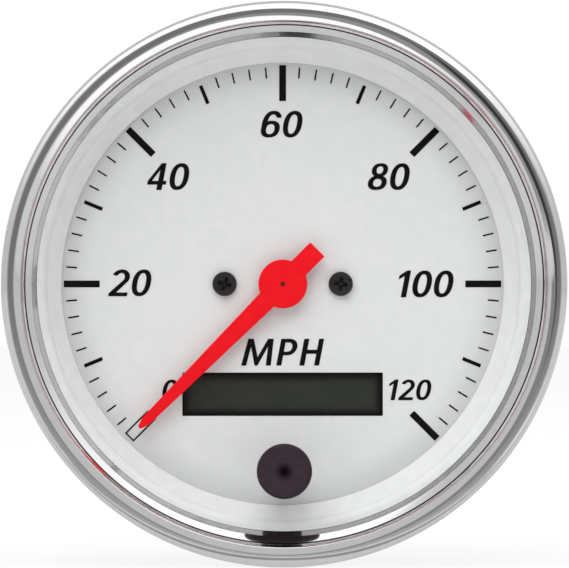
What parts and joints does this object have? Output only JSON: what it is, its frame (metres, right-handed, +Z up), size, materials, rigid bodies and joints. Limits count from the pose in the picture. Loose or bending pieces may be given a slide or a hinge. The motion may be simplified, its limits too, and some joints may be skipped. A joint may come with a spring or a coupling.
{
  "type": "speedometer",
  "caption": "Round in-dash electric speedometer with a chrome bezel, white dial, red pointer, trip window, push button and a rear clamp strap.",
  "frame": {"origin": "on the pointer's axis, in the plane where the bezel's rear lip seats on the panel", "axes": "+Y runs back through the panel along the case's axis, +X to the right and +Z up as the driver sees it"},
  "size_m": [0.092, 0.0887, 0.092],
  "materials": {
    "chrome": "mirror-bright plate",
    "lens_glass": "clear",
    "gasket_rubber": "matt",
    "ring_plastic": "satin milky white",
    "dial_paint": "satin white",
    "dial_ink": "screen print",
    "black_screw": "satin black",
    "pointer_red": "flat paint",
    "brass": "bright",
    "steel": "satin",
    "zinc_steel": "bright zinc",
    "tinned_brass": "tinned",
    "magnet": "plain",
    "button_plastic": "satin black",
    "black_plastic": "moulded",
    "display_glass": "dark",
    "light_guide": "clear green",
    "connector_rubber": "striped",
    "circuit_board": "solder mask",
    "cable_film": "film",
    "frame_plastic": "moulded white",
    "bobbin_plastic": "moulded",
    "copper": "enamelled wire",
    "case_paint": "satin black",
    "capacitor_sleeve": "sleeve",
    "bulb_glass": "clear"
  },
  "bodies": {
    "gauge": {"bezel": "chrome", "lens": "lens_glass", "lens_gasket": "gasket_rubber", "spacer_ring": "ring_plastic", "dial_plate": "dial_paint", "scale_marks": "dial_ink", "numerals": "dial_ink", "unit_legend": "dial_ink", "window_border": "dial_ink", "dial_screws": "black_screw", "trip_spring": "steel", "trip_switch": "black_plastic", "lcd_cell": "display_glass", "lcd_backlight": "light_guide", "lcd_connectors": "connector_rubber", "display_board": "circuit_board", "display_screws": "steel", "display_cable": "cable_film", "inner_frame": "frame_plastic", "bobbin_front": "bobbin_plastic", "bobbin_rear": "bobbin_plastic", "coil_inner": "copper", "coil_outer": "copper", "movement_shield": "steel", "movement_pins": "brass", "case_can": "case_paint", "main_board": "circuit_board", "driver_chip": "black_plastic", "capacitors": "capacitor_sleeve", "voltage_regulator": "black_plastic", "board_standoffs": "brass", "case_screws": "zinc_steel", "terminal_block": "black_plastic", "blade_terminals": "tinned_brass", "mounting_studs": "zinc_steel"},
    "pointer_assembly": {"pointer": "pointer_red", "pointer_bush": "brass", "spindle": "steel", "magnet_rotor": "magnet"},
    "button_assembly": {"trip_button": "button_plastic", "stem_clip": "steel", "switch_plunger": "black_plastic"},
    "clamp": {"clamp_bracket": "zinc_steel", "lock_washers": "zinc_steel"},
    "left_clamp_nut": {"left_nut": "brass"},
    "right_clamp_nut": {"right_nut": "brass"},
    "left_lamp": {"left_lamp_holder": "black_plastic", "left_bulb": "bulb_glass"},
    "right_lamp": {"right_lamp_holder": "black_plastic", "right_bulb": "bulb_glass"}
  },
  "joints": [
    {"name": "pointer_sweep", "type": "hinge", "parent": "gauge", "child": "pointer_assembly", "pos_m": [0, 0, 0], "axis": [0, 1, 0], "range_deg": [0, 270]},
    {"name": "trip_button_push", "type": "slide", "parent": "gauge", "child": "button_assembly", "axis": [0, 1, 0], "range_m": [0, 0.001], "stiffness_N_per_m": 250, "springref_m": -0.0015, "deforming": ["trip_spring"]},
    {"name": "clamp_slide", "type": "slide", "parent": "gauge", "child": "clamp", "axis": [0, 1, 0], "range_m": [-0.00198, 0.00794]},
    {"name": "left_nut_turn", "type": "hinge", "parent": "clamp", "child": "left_clamp_nut", "pos_m": [-0.01905, 0.0643, 0], "axis": [0, 1, 0], "range_deg": [-901, 3601]},
    {"name": "right_nut_turn", "type": "hinge", "parent": "clamp", "child": "right_clamp_nut", "pos_m": [0.01905, 0.0643, 0], "axis": [0, 1, 0], "range_deg": [-901, 3601]},
    {"name": "left_lamp_twist", "type": "hinge", "parent": "gauge", "child": "left_lamp", "pos_m": [-0.013, 0.051, 0.024], "axis": [0, 1, 0], "range_deg": [0, 90]},
    {"name": "right_lamp_twist", "type": "hinge", "parent": "gauge", "child": "right_lamp", "pos_m": [0.013, 0.051, 0.024], "axis": [0, 1, 0], "range_deg": [0, 90]}
  ],
  "couplings": [
    {"joint": "left_nut_turn", "follows": "clamp_slide", "rad_per_m": 7915.8},
    {"joint": "right_nut_turn", "follows": "clamp_slide", "rad_per_m": 7915.8}
  ]
}
